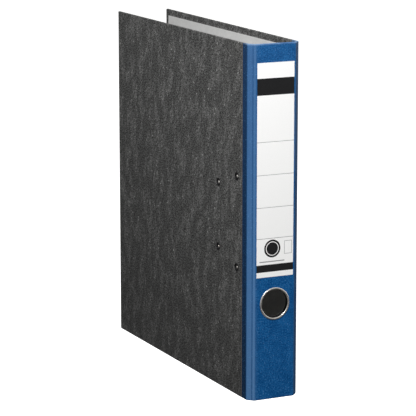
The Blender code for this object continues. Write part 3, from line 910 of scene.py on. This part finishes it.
def rectangle(low, high):
    """Outline of a rectangle."""
    return [(low[0], low[1]), (high[0], low[1]), (high[0], high[1]), (low[0], high[1])]


def ink_at(x, z):
    """Which material prints the label at a place: 0 paper, 1 ink, 2 grey rule."""
    if any(low < z < high for low, high in BARS):
        return 1
    if any(abs(z - rule) < RULE_THICK / 2 for rule in RULES):
        return 2
    away = math.hypot(x - DISC[0], z - DISC[1])
    if away < DISC_RADII[0]:
        return 0 if DISC_RADII[2] < away < DISC_RADII[1] else 1
    (left, bottom), (right, top) = BOX_MARK
    if left < x < right and bottom < z < top:
        edge = min(x - left, right - x, z - bottom, top - z)
        return 2 if edge < BOX_THICK else 0
    (left, bottom), (right, top) = CAPTION
    return 2 if left < x < right and bottom < z < top else 0


def build_label():
    """Printed spine label: bars, rules and plain marks, with no lettering."""
    bands = [(LABEL_LOW.z, LABEL_HIGH.z), *BARS]
    bands += [(rule - RULE_THICK / 2, rule + RULE_THICK / 2) for rule in RULES]
    outlines = [rectangle((-LABEL_HALF, low), (LABEL_HALF, high)) for low, high in bands]
    for radius in DISC_RADII:
        outlines.append([(DISC[0] + x, DISC[1] + z) for x, z in circle(radius)])
    outlines.append(rectangle(*BOX_MARK))
    (left, bottom), (right, top) = BOX_MARK
    shrunk = ((left + BOX_THICK, bottom + BOX_THICK), (right - BOX_THICK, top - BOX_THICK))
    outlines.append(rectangle(*shrunk))
    outlines.append(rectangle(*CAPTION))
    points = []
    edges = []
    for outline in outlines:
        first = len(points)
        count = len(outline)
        points += [Vector(point) for point in outline]
        edges += [(first + k, first + (k + 1) % count) for k in range(count)]
    found = geometry.delaunay_2d_cdt(points, edges, [], 0, JOINED_WITHIN)
    bm = bmesh.new()
    verts = [bm.verts.new((point.x, point.y, -LABEL_FACE)) for point in found[0]]
    for triangle in found[2]:
        one = bm.faces.new([verts[k] for k in triangle])
        middle = sum((found[0][k] for k in triangle), Vector((0.0, 0.0))) / len(triangle)
        one.material_index = ink_at(*middle)
    bmesh.ops.recalc_face_normals(bm, faces=bm.faces)
    if bm.faces[:][0].normal.z < 0:
        bmesh.ops.reverse_faces(bm, faces=bm.faces)
    mesh = placed_mesh(bm, "label", panel_placing(SPINE, 0.0, 0.0))
    for material in (LABEL, INK, RULE):
        mesh.materials.append(material)
    made = add_object("spine_title_label", mesh)
    thick = made.modifiers.new("paper", "SOLIDIFY")
    thick.thickness = LABEL_THICK * MM
    thick.offset = -1.0
    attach(made, "spine")
    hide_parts("spine_label")


# Finger ring ---------------------------------------------------------------------------------

LIP_RADIUS = 13.75
LIP_HALF = 0.9
LIP_FOOT = 0.02
LIP_RISE = 0.58
LIP_FULLNESS = 0.8
LIP_STEPS = 16
TUBE_RADII = (12.75, 13.15)
TUBE_START = -0.2
TUBE_END = -3.4
TUBE_ROUNDING = 0.1


def build_finger_ring():
    """Rolled steel ring: a rounded lip outside and a straight tube through the spine, dark with painted
    shade.
    """
    profile = []
    for k in range(LIP_STEPS + 1):
        angle = math.radians(180 * k / LIP_STEPS)
        level = LIP_FOOT + LIP_RISE * math.sin(angle) ** LIP_FULLNESS
        profile.append((LIP_RADIUS + LIP_HALF * math.cos(angle), level))
    inner, outer = TUBE_RADII
    profile += [(inner, TUBE_START), (inner, TUBE_END + TUBE_ROUNDING), (inner + TUBE_ROUNDING, TUBE_END)]
    profile += [(outer - TUBE_ROUNDING, TUBE_END), (outer, TUBE_END + TUBE_ROUNDING), (outer, 0.0)]
    placing = panel_placing(SPINE, 0.0, RING_Z)
    mesh = turned_mesh(profile, placing, 128)
    made = finish_piece("finger_ring_lip", mesh, NICKEL, PAINTED_SHADE_STEEL, angle=50.0)
    # Painted shade: the tube below the spine's face takes the dark steel.
    for one in mesh.polygons:
        level = (placing.inverted() @ (one.center / MM)).z
        one.material_index = 1 if level < 0.0 else 0
    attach(made, "spine")
    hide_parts("finger_ring")


# Rivets --------------------------------------------------------------------------------------

# Parts of the profile as (radius, level), from the outer end to the inner one.
BUTTON_RADIUS = 1.3
SHANK_RADIUS = 2.0
BUTTON = [(0.0, -0.1), (0.6, -0.12), (1.0, -0.2), (1.25, -0.36), (BUTTON_RADIUS, -0.46)]
FLANGE = [(3.05, -0.5), (3.2, -0.55), (3.05, -0.59), (SHANK_RADIUS, -0.59)]
HEAD_EDGE = [(SHANK_RADIUS, -3.8), (3.4, -3.8), (3.4, -4.2)]
HEAD_DISH = [(2.9, -4.6), (1.6, -4.65), (0.9, -4.3), (0.0, -4.2)]


def build_rivets():
    """Rivets: a small bright button on a flange dark with painted shade outside, and a dished head
    inside.
    """
    profile = BUTTON + FLANGE + HEAD_EDGE + HEAD_DISH
    for name, (s, z) in zip(RIVETS, rivet_places()):
        placing = panel_placing(BACK_COVER, s, z)
        mesh = turned_mesh(profile, placing, 48, closed=False)
        made = finish_piece(name + "_head", mesh, NICKEL, PAINTED_SHADE_STEEL)
        for one in mesh.polygons:
            away = placing.inverted() @ (one.center / MM)
            # Painted shade: the flange round the button takes the dark steel.
            one.material_index = 1 if away.xy.length > BUTTON_RADIUS and away.z > -POCKET_DEPTH else 0
        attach(made, "back_cover")
        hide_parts(name)


# CAD pieces that stay ------------------------------------------------------------------------

# Angles between faces, in degrees.
SMOOTH_BELOW = 30
BEVEL_ABOVE = 40
WELD_WITHIN = 0.01


def smooth_by_angle():
    """Node group that shades a mesh smooth, apart from its sharper edges."""
    tree = bpy.data.node_groups.new("smooth_by_angle", "GeometryNodeTree")
    tree.interface.new_socket("Geometry", in_out="INPUT", socket_type="NodeSocketGeometry")
    tree.interface.new_socket("Geometry", in_out="OUTPUT", socket_type="NodeSocketGeometry")
    source = tree.nodes.new("NodeGroupInput")
    target = tree.nodes.new("NodeGroupOutput")
    every = tree.nodes.new("GeometryNodeSetShadeSmooth")
    every.domain = "FACE"
    edges = tree.nodes.new("GeometryNodeSetShadeSmooth")
    edges.domain = "EDGE"
    edges.inputs["Shade Smooth"].default_value = False
    angle = tree.nodes.new("GeometryNodeInputMeshEdgeAngle")
    sharp = tree.nodes.new("FunctionNodeCompare")
    sharp.operation = "GREATER_THAN"
    sharp.inputs["B"].default_value = math.radians(SMOOTH_BELOW)
    tree.links.new(angle.outputs["Unsigned Angle"], sharp.inputs["A"])
    tree.links.new(source.outputs[0], every.inputs["Geometry"])
    tree.links.new(every.outputs["Geometry"], edges.inputs["Geometry"])
    tree.links.new(sharp.outputs["Result"], edges.inputs["Selection"])
    tree.links.new(edges.outputs["Geometry"], target.inputs[0])
    return tree


SMOOTH = smooth_by_angle()


def dress(node, material, bevel=0.0, subdivide=False):
    """Give a CAD node its material, softened edges and smooth shading."""
    body = frame["nodes"][node]
    for k in range(max(1, len(body.material_slots))):
        if not body.material_slots:
            body.data.materials.append(material)
        body.material_slots[k].material = material
    weld = body.modifiers.new("weld", "WELD")
    weld.merge_threshold = WELD_WITHIN * MM
    if bevel:
        soft = body.modifiers.new("soft edges", "BEVEL")
        soft.width = bevel * MM
        soft.segments = 2
        soft.limit_method = "ANGLE"
        soft.angle_limit = math.radians(BEVEL_ABOVE)
        soft.use_clamp_overlap = True
    if subdivide:
        fine = body.modifiers.new("fine", "SUBSURF")
        fine.levels = 1
        fine.render_levels = 1
    shade = body.modifiers.new("smooth", "NODES")
    shade.node_group = SMOOTH
    if bevel:
        flat = body.modifiers.new("even shading", "WEIGHTED_NORMAL")
        flat.keep_sharp = True


def dress_mechanism():
    """Materials and softened edges of the mechanism and the metal trim."""
    for node in ("base_plate", "lever", "compressor_bar"):
        dress(node, SATIN, 0.15)
    for node in ("slot_liner_upper", "slot_liner_lower"):
        dress(node, NICKEL, 0.12)
    dress("arch", NICKEL, subdivide=True)
    dress("arch_spring", STEEL, subdivide=True)
    for node in ("post_upper", "post_lower"):
        dress(node, NICKEL)
    dress("finger_ring_backing", SATIN)
    for node in ("lever_pin", "roller_pin", "roller"):
        dress(node, STEEL)


# Stage ---------------------------------------------------------------------------------------

# Camera in metres and degrees, at the photograph's viewing angle.
CAMERA_PLACE = (-0.8618, -1.7944, 0.5545)
CAMERA_YAW = 25.69
CAMERA_PITCH = -11.58
CAMERA_LENS = 188.0

# Lamps in metres and watts: place, point looked at, size and power.
KEY_LIGHT = ((-0.54, -0.8, 1.1), (0.0, -0.05, 0.18), 0.6, 24.0)
SIDE_LIGHT = ((1.1, 0.0, 0.5), (0.0, 0.0, 0.16), 0.8, 5.5)

# Floor in metres, apart from its grain in millimetres.
FLOOR_HALF = 20.0
FLOOR_GAP = 0.0002
FLOOR_GLOW = 0.95
FLOOR_GRAIN = 60.0

# Light from the surroundings by the height of its direction: from, to, level below, level above.
FILL_LIGHT = (-0.3, 0.4, 0.04, 0.13)
MIRRORED_LIGHT = (-0.35, 0.35, 0.15, 1.0)


def build_camera():
    """Long lens from the front left, a little above."""
    lens = bpy.data.cameras.new("camera")
    lens.lens = CAMERA_LENS
    lens.sensor_width = 36.0
    lens.clip_end = 50.0
    made = add_object("camera", lens)
    made.location = CAMERA_PLACE
    made.rotation_euler = (math.radians(90 + CAMERA_PITCH), 0.0, -math.radians(CAMERA_YAW))
    bpy.context.scene.camera = made


def build_light(name, place, aim, size, power):
    """A soft square light that looks at a point."""
    lamp = bpy.data.lights.new(name, "AREA")
    lamp.size = size
    lamp.energy = power
    made = add_object(name, lamp)
    made.location = place
    made.rotation_euler = (Vector(aim) - Vector(place)).to_track_quat("-Z", "Y").to_euler()


def build_floor():
    """Plain pale floor that reads as near white and sends no light back at the file."""
    made = Surface("floor", 0.9)
    grain = made.noise(made.local(), FLOOR_GRAIN)
    made.put("Base Color", made.mix(grain, tone(236, 236, 236), tone(240, 240, 240)))
    made.put("Emission Color", (1.0, 1.0, 1.0, 1.0))
    made.put("Emission Strength", FLOOR_GLOW)
    mesh = bpy.data.meshes.new("floor")
    level = CAD_BOX[0][2] - FLOOR_GAP
    corners = rectangle((-FLOOR_HALF, -FLOOR_HALF), (FLOOR_HALF, FLOOR_HALF))
    mesh.from_pydata([(x, y, level) for x, y in corners], [], [(0, 1, 2, 3)])
    mesh.materials.append(made.material)
    floor = add_object("floor", mesh)
    floor.visible_diffuse = False
    floor.visible_glossy = False


def build_world():
    """Pale surroundings: white to look at, dim as a light, bright from above in reflections."""
    world = bpy.data.worlds.new("world")
    world.use_nodes = True
    bpy.context.scene.world = world
    tree = world.node_tree
    sky = tree.nodes["Background"]
    sky.inputs["Color"].default_value = (1.0, 1.0, 1.0, 1.0)
    place = tree.nodes.new("ShaderNodeTexCoord")
    height = tree.nodes.new("ShaderNodeSeparateXYZ")
    path = tree.nodes.new("ShaderNodeLightPath")
    tree.links.new(place.outputs["Generated"], height.inputs["Vector"])

    def graded(low, high, bottom, top):
        made = tree.nodes.new("ShaderNodeMapRange")
        made.interpolation_type = "SMOOTHSTEP"
        for key, value in (("From Min", low), ("From Max", high), ("To Min", bottom), ("To Max", top)):
            made.inputs[key].default_value = value
        tree.links.new(height.outputs["Z"], made.inputs["Value"])
        return made.outputs["Result"]

    def switched(switch, off, on):
        made = tree.nodes.new("ShaderNodeMix")
        tree.links.new(path.outputs[switch], made.inputs["Factor"])
        tree.links.new(off, made.inputs["A"])
        if isinstance(on, float):
            made.inputs["B"].default_value = on
        else:
            tree.links.new(on, made.inputs["B"])
        return made.outputs["Result"]

    level = switched("Is Glossy Ray", graded(*FILL_LIGHT), graded(*MIRRORED_LIGHT))
    level = switched("Is Camera Ray", level, 1.0)
    tree.links.new(level, sky.inputs["Strength"])


for case_side in SIDES:
    build_cover_case(case_side)
for case_side in SIDES:
    build_hinges(case_side)
build_spine_case()
for case_side in SIDES:
    build_side_linings(case_side)
build_spine_lining()
build_label()
build_finger_ring()
build_rivets()
dress_mechanism()
build_camera()
build_light("key", *KEY_LIGHT)
build_light("side", *SIDE_LIGHT)
build_floor()
build_world()
bpy.context.scene.view_settings.view_transform = "Standard"
